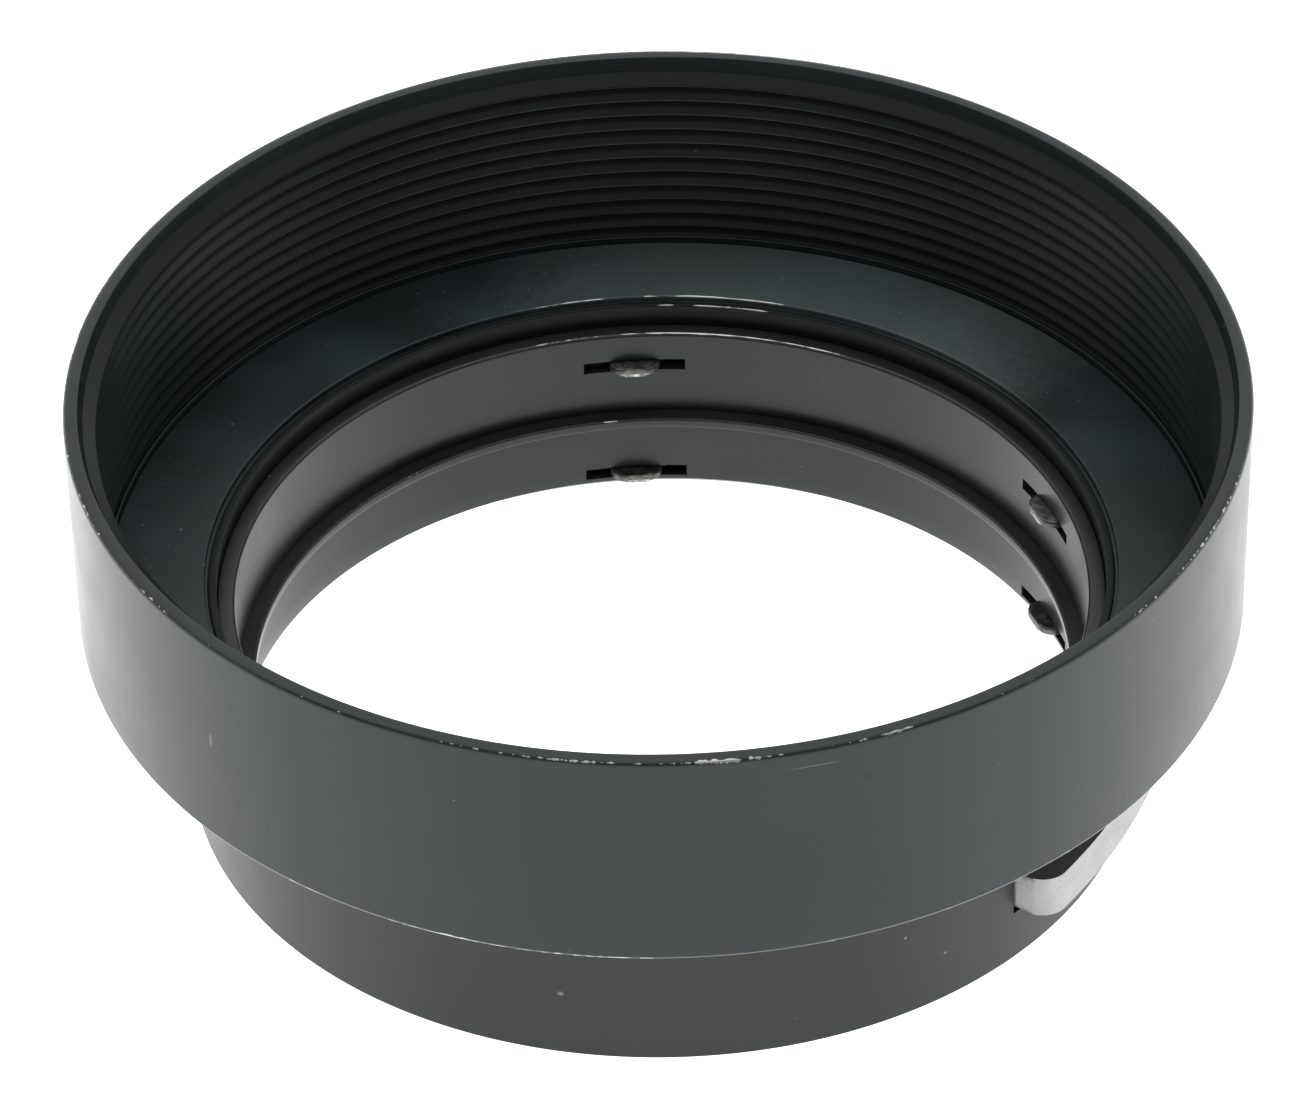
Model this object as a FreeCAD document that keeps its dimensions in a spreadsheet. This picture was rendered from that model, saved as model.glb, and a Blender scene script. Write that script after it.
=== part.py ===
"""Reversible clip-on lens hood for a 42 mm lens rim, in millimetres.

+Z is the optical axis and points out of the ribbed front opening. The origin is the centre of
the rear face. The two release bars lie on the X axis. Everything repeats after half a turn
about Z, so each moving piece on the +X side has a twin on the -X side.
"""

import FreeCAD, Part
import math
import os

import Sketcher

# The driving dimensions. Heights are measured up from the rear face, angles from the +X axis.
DIMENSIONS = {
    # front shell: lip, tapered mouth, ribbed wall, well for the floor plate, web
    "rim_radius": 29.0,
    "rim_height": 22.6,
    "rim_round": 0.3,
    "wall_taper": 0.24,
    "lip_width": 0.72,
    "throat_drop": 0.7,
    "throat_taper": 0.2,
    "mouth_drop": 1.2,
    "rib_crest": 27.42,
    "rib_depth": 0.38,
    "rib_pitch": 0.88,
    "rib_flat": 0.08,
    "rib_undercut": 0.13,
    "rib_count": 11,
    "first_rib_drop": 1.4,
    "step_height": 10.5,
    "foot_inset": 0.1,
    "foot_rise": 0.15,
    "web_thickness": 0.5,
    "well_radius": 27.3,
    "well_lip": 12.02,
    "well_ledge": 0.5,
    # floor plate and lock ring
    "plate_thickness": 0.3,
    "plate_inner": 22.55,
    "lock_thickness": 0.4,
    "lock_outer": 24.6,
    "joint_gap": 0.04,
    "edge_break": 0.08,
    # rear sleeve
    "rear_radius": 23.62,
    "rear_bore": 23.02,
    "rear_chamfer": 0.06,
    "neck_outer": 22.38,
    "neck_bore": 21.98,
    "neck_top": 11.55,
    "roof_height": 9.95,
    # lens collar
    "seat_radius": 21.08,
    "entry_radius": 21.1,
    "collar_outer": 21.65,
    "collar_rim": 21.94,
    "collar_top": 10.35,
    "lead_in_width": 0.12,
    "lead_in_depth": 0.1,
    "flange_radius": 22.98,
    "flange_thickness": 0.8,
    # stop ring between the two seats
    "stop_bore": 20.25,
    "stop_outer": 21.32,
    "stop_height": 5.0,
    "stop_thickness": 0.55,
    "stop_break": 0.1,
    # the two rows of catches
    "lower_row": 1.65,
    "upper_row": 8.45,
    "slot_length": 5.2,
    "slot_height": 0.65,
    "seat_margin": 0.4,
    "tongue_reach": 20.38,
    "tongue_width": 2.6,
    "tongue_thickness": 0.45,
    "tongue_round": 0.8,
    # closing ring
    "closing_height": 1.1,
    "bevel_bottom": 22.43,
    "spanner_width": 1.2,
    "spanner_depth": 0.35,
    # rocker levers and their pins
    "near_station": 46.2,
    "far_station": 63.3,
    "contact_angle": 17.5,
    "pivot_radius": 22.33,
    "pin_radius": 0.33,
    "pin_clearance": 0.03,
    "pin_seat": 0.5,
    "knuckle_radius": 0.6,
    "lever_inner": 21.69,
    "lever_outer": 22.01,
    "lever_overrun": 4.2,
    "finger_overrun": 0.8,
    "finger_bottom": 2.5,
    "finger_top": 4.75,
    "coil_bottom": 4.9,
    "coil_top": 6.6,
    "coil_room": 0.7,
    # torsion springs
    "wire_radius": 0.08,
    "coil_radius": 0.44,
    "coil_pitch": 0.21,
    "coil_turns": 6,
    "coil_start": 5.05,
    "arm_leg": 2.0,
    "arm_leg_lean": 20.0,
    "wall_leg": 1.3,
    "wall_leg_lean": 35.0,
    # release bars
    "bar_travel": 0.78,
    "bar_bottom": 2.95,
    "bar_top": 5.2,
    "bar_half_length": 8.35,
    "thumb_overlap": 4.0,
    "bar_crown": 25.0,
    "crown_radius": 36.0,
    "bar_end_round": 1.3,
    "bar_edge_round": 0.4,
    "bar_pad": 22.83,
    "keeper_inner": 22.72,
    "keeper_margin": 0.7,
    "keeper_angle": 22.8,
    "pad_margin": 0.1,
    "window_clearance": 0.15,
}

VECTOR = FreeCAD.Vector
UP = VECTOR(0, 0, 1)
HALF_TURN = 180.0
OVERCUT = 1.0  # how far a cutting solid runs past what it cuts

# Each side's two rockers: its name, the angle of its catch from the bar, and which way it points.
STATIONS = (("near", "near_station", 1), ("far", "far_station", -1))
SIDES = (("right", 0.0), ("left", HALF_TURN))

document = FreeCAD.newDocument("lens_hood")
sheet = document.addObject("Spreadsheet::Sheet", "Dims")
for row, (alias, number) in enumerate(DIMENSIONS.items(), start=1):
    sheet.set(f"A{row}", alias)
    sheet.set(f"B{row}", str(number))
    sheet.setAlias(f"B{row}", alias)
document.recompute()


def size(name):
    """The number in one cell of the sheet, for the places that are worked out here."""
    return float(sheet.get(name))


def cells(expression):
    """An expression with each dimension's name, set off by spaces, made a reference to its cell."""
    words = expression.split(" ")
    return " ".join(f"Dims.{word}" if word in DIMENSIONS else word for word in words)


# ------------------------------------------------------------ sketches and PartDesign features


def new_body(label):
    body = document.addObject("PartDesign::Body", label)
    body.Label = label
    return body


def new_sketch(body, name, role):
    """A sketch on one of the body's own origin planes."""
    sketch = body.newObject("Sketcher::SketchObject", name)
    plane = next(item for item in body.Origin.OriginFeatures if item.Role == role)
    sketch.AttachmentSupport = [(plane, "")]
    sketch.MapMode = "FlatFace"
    return sketch


def constrain(sketch, kind, *where_and_size):
    """A dimensional constraint whose size, the last argument, comes from the sheet."""
    *where, expression = where_and_size
    index = sketch.addConstraint(Sketcher.Constraint(kind, *where, 1.0))
    sketch.setExpression(f"Constraints[{index}]", cells(expression))


def hold(sketch, kind, geometry, point, expression):
    """Ties a point to the sketch's origin, along one axis."""
    if expression == "0":
        axis = -2 if kind == "DistanceX" else -1
        sketch.addConstraint(Sketcher.Constraint("PointOnObject", geometry, point, axis))
    else:
        constrain(sketch, kind, -1, 1, geometry, point, expression)


def join_lines(sketch, points):
    """A closed ring of lines through rough points, for constraints to pull into place."""
    count = len(points)
    for index in range(count):
        sketch.addGeometry(Part.LineSegment(points[index], points[(index + 1) % count]))
    for index in range(count):
        following = (index + 1) % count
        sketch.addConstraint(Sketcher.Constraint("Coincident", index, 2, following, 1))


def outline(body, name, corners):
    """A closed section on the XZ plane, whose corners are (radius, height) expressions."""
    sketch = new_sketch(body, name, "XZ_Plane")
    middle = VECTOR(20, 20, 0)
    turn = 2 * math.pi / len(corners)
    spread = [VECTOR(math.cos(turn * k), math.sin(turn * k), 0) for k in range(len(corners))]
    join_lines(sketch, [middle + step for step in spread])
    for index, (radius, height) in enumerate(corners):
        hold(sketch, "DistanceX", index, 1, radius)
        hold(sketch, "DistanceY", index, 1, height)
    return sketch


def slab(body, name, role, low, high, breadth, upright=False):
    """A rectangle from low to high along a sketch axis, centred on that axis."""
    sketch = new_sketch(body, name, role)
    join_lines(sketch, [VECTOR(1, 1, 0), VECTOR(2, 1, 0), VECTOR(2, 2, 0), VECTOR(1, 2, 0)])
    if upright:
        level, plumb = (2,), (1, 3)
        hold(sketch, "DistanceY", 0, 1, low)
        hold(sketch, "DistanceY", 2, 1, high)
        sketch.addConstraint(Sketcher.Constraint("Symmetric", 0, 1, 0, 2, -2))
        constrain(sketch, "Distance", 0, breadth)
    else:
        level, plumb = (0, 2), (1,)
        hold(sketch, "DistanceX", 0, 1, low)
        hold(sketch, "DistanceX", 0, 2, high)
        sketch.addConstraint(Sketcher.Constraint("Symmetric", 3, 1, 3, 2, -1))
        constrain(sketch, "Distance", 3, breadth)
    for line in level:
        sketch.addConstraint(Sketcher.Constraint("Horizontal", line))
    for line in plumb:
        sketch.addConstraint(Sketcher.Constraint("Vertical", line))
    return sketch


def disc(body, name, radius, distance):
    """A circle on the XY plane, on the sketch's own X axis."""
    sketch = new_sketch(body, name, "XY_Plane")
    sketch.addGeometry(Part.Circle(VECTOR(1, 0, 0), UP, 1))
    sketch.addConstraint(Sketcher.Constraint("PointOnObject", 0, 3, -1))
    constrain(sketch, "DistanceX", -1, 1, 0, 3, distance)
    constrain(sketch, "Radius", 0, radius)
    return sketch


def raise_sketch(sketch, height, angle="0"):
    """Moves a sketch up from its plane and turns it about Z."""
    sketch.setExpression(".AttachmentOffset.Base.z", cells(height))
    sketch.AttachmentOffset.Rotation = FreeCAD.Rotation(UP, 1.0)
    sketch.setExpression(".AttachmentOffset.Rotation.Angle", cells(angle))


def turned(body, sketch):
    """Revolves a section about Z into a ring."""
    ring = body.newObject("PartDesign::Revolution", f"{body.Label}_ring")
    ring.Profile = sketch
    ring.ReferenceAxis = (sketch, ["V_Axis"])
    ring.Angle = 360.0
    return ring


def pocket(body, sketch, depth, both_ways=False, upwards=False):
    cut = body.newObject("PartDesign::Pocket", f"{sketch.Name}_cut")
    cut.Profile = sketch
    cut.SideType = "Symmetric" if both_ways else "One side"
    cut.Reversed = upwards
    cut.setExpression("Length", cells(depth))
    return cut


def repeat_half_turn(body, cuts, sketch):
    """Repeats cuts on the opposite side of the ring."""
    pattern = body.newObject("PartDesign::PolarPattern", f"{cuts[0].Name}_pair")
    pattern.Originals = cuts
    pattern.Axis = (sketch, ["N_Axis"])
    pattern.Angle = 360.0
    pattern.Occurrences = 2
    body.Tip = pattern
    return pattern


def ring_body(label, corners):
    """A body that is one turned section."""
    body = new_body(label)
    turned(body, outline(body, f"{label}_section", corners))
    return body


# ------------------------------------------------------------ helpers for Part primitives


def primitive(kind, name, **expressions):
    """A Part primitive whose properties are bound to the sheet."""
    item = document.addObject(f"Part::{kind}", name)
    for key, expression in expressions.items():
        item.setExpression(key, cells(expression))
    return item


def cylinder(name, radius, bottom, top):
    """An upright cylinder on the Z axis between two heights."""
    item = primitive("Cylinder", name, Radius=radius, Height=f"{top} - ( {bottom} )")
    item.setExpression(".Placement.Base.z", cells(bottom))
    return item


def post(name, radius, distance, bottom, top):
    """An upright cylinder that stands away from Z, along X."""
    item = cylinder(name, radius, bottom, top)
    item.setExpression(".Placement.Base.x", cells(distance))
    return item


def cut(name, base, tool):
    item = document.addObject("Part::Cut", name)
    item.Base = base
    item.Tool = tool
    return item


def fuse(name, shapes):
    item = document.addObject("Part::MultiFuse", name)
    item.Shapes = shapes
    return item


def sector(name, inner, outer, bottom, top, sweep, start):
    """Part of a ring: sweep and start are angles, and start is counted from the X axis."""
    wedge = cylinder(f"{name}_wedge", outer, bottom, top)
    wedge.setExpression("Angle", cells(sweep))
    wedge.Placement.Rotation = FreeCAD.Rotation(UP, 1.0)
    wedge.setExpression(".Placement.Rotation.Angle", cells(start))
    core = cylinder(f"{name}_core", inner, f"{bottom} - {OVERCUT}", f"{top} + {OVERCUT}")
    return cut(name, wedge, core)


def round_edges(name, base, wanted, radius):
    """Rounds the edges of a shape that the wanted function picks."""
    document.recompute()
    item = document.addObject("Part::Fillet", name)
    item.Base = base
    picked = [k for k, edge in enumerate(base.Shape.Edges, start=1) if wanted(edge)]
    item.Edges = [(k, radius, radius) for k in picked]
    return item


def finish(item, label, angle):
    """Names a finished piece and turns it about Z to its place."""
    item.Label = label
    item.Placement = FreeCAD.Placement(VECTOR(0, 0, 0), FreeCAD.Rotation(UP, angle))
    return item


# ------------------------------------------------------------ the fixed pieces


def make_front_shell():
    """The wide outer shell: a thin lip, a ribbed wall that traps light, and a web at its foot."""
    body = ring_body(
        "front_shell",
        [
            ("neck_outer + joint_gap", "step_height"),
            ("rim_radius - wall_taper - foot_inset", "step_height"),
            ("rim_radius - wall_taper", "step_height + foot_rise"),
            ("rim_radius", "rim_height"),
            ("rim_radius - lip_width", "rim_height"),
            ("rim_radius - lip_width - throat_taper", "rim_height - throat_drop"),
            ("rib_crest", "rim_height - mouth_drop"),
            ("rib_crest", "well_lip"),
            ("well_radius", "well_lip"),
            ("well_radius", "step_height + web_thickness + lock_thickness"),
            ("well_radius - well_ledge", "step_height + web_thickness + lock_thickness"),
            ("well_radius - well_ledge", "step_height + web_thickness"),
            ("neck_outer + joint_gap", "step_height + web_thickness"),
        ],
    )
    document.recompute()
    shell = body.Tip
    rim = next(
        k
        for k, edge in enumerate(shell.Shape.Edges, start=1)
        if abs(edge.BoundBox.ZMin - size("rim_height")) < 0.001
        and abs(edge.BoundBox.XMax - size("rim_radius")) < 0.001
    )
    rounding = body.newObject("PartDesign::Fillet", "rim_rounding")
    rounding.Base = (shell, [f"Edge{rim}"])
    rounding.setExpression("Radius", cells("rim_round"))

    root = "rim_height - first_rib_drop"
    tooth = outline(
        body,
        "rib_section",
        [
            ("rib_crest - rib_depth", f"{root} + rib_undercut"),
            ("rib_crest", f"{root} + rib_undercut"),
            ("rib_crest + rib_depth", root),
            ("rib_crest", f"{root} + rib_undercut + rib_flat - rib_pitch"),
            ("rib_crest - rib_depth", f"{root} + rib_undercut + rib_flat - rib_pitch"),
        ],
    )
    groove = body.newObject("PartDesign::Groove", "rib_groove")
    groove.Profile = tooth
    groove.ReferenceAxis = (tooth, ["V_Axis"])
    groove.Angle = 360.0
    ribs = body.newObject("PartDesign::LinearPattern", "ribs")
    ribs.Originals = [groove]
    ribs.Direction = (tooth, ["V_Axis"])
    ribs.Reversed = True
    ribs.setExpression("Length", cells("rib_pitch * ( rib_count - 1 )"))
    ribs.setExpression("Occurrences", cells("rib_count"))
    body.Tip = ribs
    return body


def make_floor_plate():
    """The flat baffle that covers the web and the lock ring."""
    seat = "step_height + web_thickness + lock_thickness"
    top = f"{seat} + plate_thickness"
    return ring_body(
        "floor_plate",
        [
            ("plate_inner", seat),
            ("well_radius - joint_gap", seat),
            ("well_radius - joint_gap", f"{top} - edge_break"),
            ("well_radius - joint_gap - edge_break", top),
            ("plate_inner + edge_break", top),
            ("plate_inner", f"{top} - edge_break"),
        ],
    )


def make_lock_ring():
    """The thin nut that draws the rear sleeve's neck up through the web."""
    foot = "step_height + web_thickness"
    return ring_body(
        "lock_ring",
        [
            ("neck_outer", foot),
            ("lock_outer", foot),
            ("lock_outer", f"{foot} + lock_thickness"),
            ("neck_outer", f"{foot} + lock_thickness"),
        ],
    )


def make_rear_sleeve():
    """The narrow outer sleeve, with a threaded neck above and a window for each release bar."""
    body = ring_body(
        "rear_sleeve",
        [
            ("rear_bore", "0"),
            ("rear_radius - rear_chamfer", "0"),
            ("rear_radius", "rear_chamfer"),
            ("rear_radius", "step_height"),
            ("neck_outer", "step_height"),
            ("neck_outer", "neck_top - edge_break"),
            ("neck_outer - edge_break", "neck_top"),
            ("neck_bore + edge_break", "neck_top"),
            ("neck_bore", "neck_top - edge_break"),
            ("neck_bore", "roof_height"),
            ("rear_bore", "roof_height"),
        ],
    )
    window = slab(
        body,
        "window",
        "YZ_Plane",
        "bar_bottom - window_clearance",
        "bar_top + window_clearance",
        "2 * ( bar_half_length + window_clearance )",
        upright=True,
    )
    pocket(body, window, "2 * rim_radius", both_ways=True)
    return body


def pin_holes(body, depth, height, upwards):
    """The four holes that hold the ends of the pivot pins."""
    holes = []
    for name, station, way in STATIONS:
        hole = disc(body, f"{body.Label}_{name}_hole", "pin_radius", "pivot_radius")
        raise_sketch(hole, height, f"{way} * ( {station} + contact_angle ) / 2")
        holes.append(pocket(body, hole, depth, upwards=upwards))
    repeat_half_turn(body, holes, hole)


def make_lens_collar():
    """The inner collar: a seat for the lens rim each way up, and two rows of slots."""
    body = ring_body(
        "lens_collar",
        [
            ("entry_radius + lead_in_width", "collar_top"),
            ("collar_rim", "collar_top"),
            ("collar_rim", "roof_height"),
            ("flange_radius", "roof_height"),
            ("flange_radius", "roof_height - flange_thickness"),
            ("collar_outer", "roof_height - flange_thickness"),
            ("collar_outer", "closing_height"),
            ("entry_radius", "closing_height"),
            ("seat_radius", "lower_row + seat_margin"),
            ("seat_radius", "stop_height"),
            ("stop_outer", "stop_height"),
            ("stop_outer", "stop_height + stop_thickness"),
            ("seat_radius", "stop_height + stop_thickness"),
            ("seat_radius", "upper_row - seat_margin"),
            ("entry_radius", "collar_top - lead_in_depth"),
        ],
    )
    slots = []
    for level in ("lower_row", "upper_row"):
        for name, station, way in STATIONS:
            slot = slab(
                body,
                f"{level}_{name}_slot",
                "XY_Plane",
                "tongue_reach",
                "knuckle_radius + lever_outer",
                "slot_length",
            )
            raise_sketch(slot, level, f"{way} * {station}")
            slots.append(pocket(body, slot, "slot_height", both_ways=True))
    repeat_half_turn(body, slots, slot)
    pin_holes(body, "flange_thickness + edge_break", "roof_height", upwards=False)
    return body


def make_stop_ring():
    """The ring sprung into a groove of the collar, which the lens rim comes to rest on."""
    top = "stop_height + stop_thickness"
    return ring_body(
        "stop_ring",
        [
            ("stop_bore", "stop_height + stop_break"),
            ("stop_bore + stop_break", "stop_height"),
            ("stop_outer", "stop_height"),
            ("stop_outer", top),
            ("stop_bore + stop_break", top),
            ("stop_bore", f"{top} - stop_break"),
        ],
    )


def make_closing_ring():
    """The ring that closes the rear, guides the lens rim in and holds the pins' lower ends."""
    body = ring_body(
        "closing_ring",
        [
            ("bevel_bottom", "0"),
            ("rear_bore", "0"),
            ("rear_bore", "closing_height"),
            ("entry_radius", "closing_height"),
        ],
    )
    pin_holes(body, "pin_seat", "closing_height", upwards=False)
    notch = slab(
        body,
        "spanner_notch",
        "XY_Plane",
        "0 - rim_radius",
        "rim_radius",
        "spanner_width",
        upright=True,
    )
    pocket(body, notch, "spanner_depth", upwards=True)
    return body


# ------------------------------------------------------------ the moving pieces


def arm_angle(station):
    """Half the angle between a rocker's catch and the place where the bar pushes it."""
    return f"( {station} - contact_angle ) / 2"


def swing_degrees(station):
    """How far a rocker turns when its bar is pushed home."""
    arm = math.radians((size(station) - size("contact_angle")) / 2)
    push = size("bar_travel") * math.cos(math.radians(size("contact_angle")))
    return math.degrees(push / (size("pivot_radius") * math.sin(arm)))


def pivot_angle(station, way):
    return way * (size(station) + size("contact_angle")) / 2


def make_tongue(name, level, station, way):
    """A flat catch with a rounded nose, which stands through a slot of the collar."""
    blank = primitive(
        "Box",
        f"{name}_blank",
        Length="lever_inner + edge_break - tongue_reach",
        Width="tongue_width",
        Height="tongue_thickness",
    )
    blank.setExpression(".Placement.Base.x", cells("tongue_reach"))
    blank.setExpression(".Placement.Base.y", cells("0 - tongue_width / 2"))
    blank.setExpression(".Placement.Base.z", cells(f"{level} - tongue_thickness / 2"))

    def at_the_nose(edge):
        box = edge.BoundBox
        return box.XMax < size("tongue_reach") + 0.001 and box.ZLength > box.YLength

    tongue = round_edges(name, blank, at_the_nose, size("tongue_round"))
    angle = way * (size(station) - size("contact_angle")) / 2
    tongue.Placement = FreeCAD.Placement(VECTOR(0, 0, 0), FreeCAD.Rotation(UP, angle))
    return tongue


def make_rocker(label, station, way, side_angle):
    """A lever bent from strip: a knuckle, an arm with two catches, and a finger for the bar."""
    bottom = "lower_row - tongue_thickness / 2"
    top = "upper_row + tongue_thickness / 2"
    arm_sweep = f"{arm_angle(station)} + lever_overrun"
    finger_sweep = f"{arm_angle(station)} + finger_overrun"
    arm = sector(
        f"{label}_arm",
        "lever_inner",
        "lever_outer",
        bottom,
        top,
        arm_sweep,
        "0" if way > 0 else f"0 - ( {arm_sweep} )",
    )
    finger = sector(
        f"{label}_finger",
        "lever_inner",
        "lever_outer",
        "finger_bottom",
        "finger_top",
        finger_sweep,
        f"0 - ( {finger_sweep} )" if way > 0 else "0",
    )
    lift = way * swing_degrees(station)
    pivot = VECTOR(size("pivot_radius"), 0, 0)
    finger.Placement = FreeCAD.Placement(VECTOR(0, 0, 0), FreeCAD.Rotation(UP, lift), pivot)

    knuckles = [
        post(f"{label}_lower_knuckle", "knuckle_radius", "pivot_radius", bottom, "coil_bottom"),
        post(f"{label}_upper_knuckle", "knuckle_radius", "pivot_radius", "coil_top", top),
    ]
    tongues = [
        make_tongue(f"{label}_{level}_tongue", level, station, way)
        for level in ("lower_row", "upper_row")
    ]
    strip = fuse(f"{label}_strip", [arm, finger, *knuckles, *tongues])
    room = post(f"{label}_coil_room", "coil_room", "pivot_radius", "coil_bottom", "coil_top")
    notched = cut(f"{label}_notched", strip, room)
    eye = post(
        f"{label}_eye",
        "pin_radius + pin_clearance",
        "pivot_radius",
        f"{bottom} - {OVERCUT}",
        f"{top} + {OVERCUT}",
    )
    return finish(cut(label, notched, eye), label, side_angle + pivot_angle(station, way))


def make_pin(label, station, way, side_angle):
    """A plain pin on which one rocker turns."""
    pin = cylinder(label, "pin_radius", "closing_height - pin_seat", "roof_height")
    angle = f"{side_angle} + {way} * ( {station} + contact_angle ) / 2"
    pin.setExpression(".Placement.Base.x", cells(f"pivot_radius * cos( {angle} )"))
    pin.setExpression(".Placement.Base.y", cells(f"pivot_radius * sin( {angle} )"))
    pin.Label = label
    return pin


def make_leg(name, length, lean, height, way):
    """A straight end of a spring, tangent to its coil. Lean is its angle from the coil's middle."""
    turn = math.radians(size(lean)) * way
    outward = VECTOR(math.cos(turn), math.sin(turn), 0)
    along = VECTOR(-math.sin(abs(turn)), way * math.cos(turn), 0)
    leg = primitive("Cylinder", name, Radius="wire_radius", Height=length)
    centre = VECTOR(size("pivot_radius"), 0, height)
    leg.Placement = FreeCAD.Placement(
        centre + outward * size("coil_radius"), FreeCAD.Rotation(UP, along)
    )
    return leg


def make_spring(label, station, way, side_angle):
    """A torsion spring round a pin: it holds the catches in and pushes the bar out."""
    lean = size("arm_leg_lean") + size("wall_leg_lean")
    turns = size("coil_turns") + lean / 360.0
    helix = primitive(
        "Helix",
        f"{label}_helix",
        Radius="coil_radius",
        Pitch="coil_pitch",
    )
    helix.Height = size("coil_pitch") * turns
    helix.LocalCoord = "Left-handed" if way > 0 else "Right-handed"
    start = way * size("arm_leg_lean")
    centre = VECTOR(size("pivot_radius"), 0, size("coil_start"))
    helix.Placement = FreeCAD.Placement(centre, FreeCAD.Rotation(UP, start))
    wire = primitive("Circle", f"{label}_wire", Radius="wire_radius")
    turn = FreeCAD.Rotation(UP, start)
    across = turn.multVec(VECTOR(0, 1, 0))
    wire.Placement = FreeCAD.Placement(
        centre + turn.multVec(VECTOR(size("coil_radius"), 0, 0)), FreeCAD.Rotation(UP, across)
    )
    coil = document.addObject("Part::Sweep", f"{label}_coil")
    coil.Sections = [wire]
    coil.Spine = (helix, ["Edge1"])
    coil.Solid = True
    coil.Frenet = True
    bottom = size("coil_start")
    arm_leg = make_leg(f"{label}_arm_leg", "arm_leg", "arm_leg_lean", bottom, way)
    wall_leg = make_leg(
        f"{label}_wall_leg", "wall_leg", "wall_leg_lean", bottom + helix.Height.Value, -way
    )
    spring = fuse(label, [coil, arm_leg, wall_leg])
    return finish(spring, label, side_angle + pivot_angle(station, way))


def make_bar(label, side_angle):
    """A release bar: a crowned thumb piece outside, and a keeper behind the window."""
    blank = primitive(
        "Box",
        f"{label}_blank",
        Length="bar_crown - keeper_inner + thumb_overlap",
        Width="2 * bar_half_length",
        Height="bar_top - bar_bottom",
    )
    blank.setExpression(".Placement.Base.x", cells("keeper_inner - thumb_overlap"))
    blank.setExpression(".Placement.Base.y", cells("0 - bar_half_length"))
    blank.setExpression(".Placement.Base.z", cells("bar_bottom"))

    crown = post(
        f"{label}_crown",
        "crown_radius",
        "bar_crown - crown_radius",
        f"bar_bottom - {OVERCUT}",
        f"bar_top + {OVERCUT}",
    )
    crowned = document.addObject("Part::Common", f"{label}_crowned")
    crowned.Base = blank
    crowned.Tool = crown

    def upright_outer(edge):
        box = edge.BoundBox
        return box.XMin > size("rear_radius") and box.ZLength > box.YLength

    ends = round_edges(f"{label}_ends", crowned, upright_outer, size("bar_end_round"))
    bore = cylinder(
        f"{label}_bore", "keeper_inner", f"bar_bottom - {OVERCUT}", f"bar_top + {OVERCUT}"
    )
    thumb = cut(f"{label}_thumb", ends, bore)

    def outer_rim(edge):
        box = edge.BoundBox
        flat = box.ZLength < 0.001
        return flat and edge.Length > 1.0 and box.XMax > size("rear_bore")

    softened = round_edges(f"{label}_softened", thumb, outer_rim, size("bar_edge_round"))
    keeper = sector(
        f"{label}_keeper",
        "keeper_inner",
        "flange_radius",
        "bar_bottom - keeper_margin",
        "bar_top + keeper_margin",
        "2 * keeper_angle",
        "0 - keeper_angle",
    )
    whole = fuse(f"{label}_whole", [softened, keeper])
    pad = cylinder(
        f"{label}_pad",
        "bar_pad",
        "finger_bottom - pad_margin",
        "finger_top + pad_margin",
    )
    return finish(cut(label, whole, pad), label, side_angle)


def main():
    pieces = [
        make_front_shell(),
        make_floor_plate(),
        make_lock_ring(),
        make_rear_sleeve(),
        make_lens_collar(),
        make_stop_ring(),
        make_closing_ring(),
    ]
    for side, side_angle in SIDES:
        pieces.append(make_bar(f"{side}_release_bar", side_angle))
        for name, station, way in STATIONS:
            tag = f"{side}_{name}"
            pieces.append(make_rocker(f"{tag}_rocker", station, way, side_angle))
            pieces.append(make_pin(f"{tag}_pin", station, way, side_angle))
            pieces.append(make_spring(f"{tag}_spring", station, way, side_angle))
    document.recompute()

    for item in document.Objects:
        if "Invalid" in item.State or "Error" in item.State:
            raise RuntimeError(f"{item.Label} did not compute: {item.State}")
    os.makedirs("parts", exist_ok=True)
    for piece in pieces:
        shape = piece.Shape
        if shape.isNull() or not shape.isValid() or not shape.Solids:
            raise RuntimeError(f"{piece.Label} is not a valid solid")
        shape.exportStep(os.path.join("parts", f"{piece.Label}.step"))
        print(f"{piece.Label}: {len(shape.Solids)} solid, {shape.Volume:.2f} mm3")


main()
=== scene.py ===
import math

import bmesh
import bpy
from mathutils import Matrix, Vector


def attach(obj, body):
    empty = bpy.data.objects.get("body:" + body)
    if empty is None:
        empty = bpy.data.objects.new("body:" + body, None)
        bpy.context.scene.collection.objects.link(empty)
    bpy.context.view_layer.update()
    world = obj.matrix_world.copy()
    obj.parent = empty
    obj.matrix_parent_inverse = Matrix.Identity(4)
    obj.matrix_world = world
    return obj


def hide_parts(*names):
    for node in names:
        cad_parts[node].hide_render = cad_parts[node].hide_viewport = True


# A lens hood on a light table. Every length is in millimetres until it meets a mesh, and every
# height is measured up from the hood's rear face. Angles are counted from the right release bar.

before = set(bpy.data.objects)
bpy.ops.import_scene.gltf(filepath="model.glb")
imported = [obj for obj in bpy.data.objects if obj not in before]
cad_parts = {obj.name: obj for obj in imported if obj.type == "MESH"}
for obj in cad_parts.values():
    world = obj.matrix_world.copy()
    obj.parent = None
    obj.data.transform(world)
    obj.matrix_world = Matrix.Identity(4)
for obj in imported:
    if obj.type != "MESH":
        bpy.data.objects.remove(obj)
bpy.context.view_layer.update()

MM = 0.001
TURN_STEPS = 240
ARC_STEPS = 3
SHARP_ANGLE = math.radians(38)
SOFT = 0.06

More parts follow.
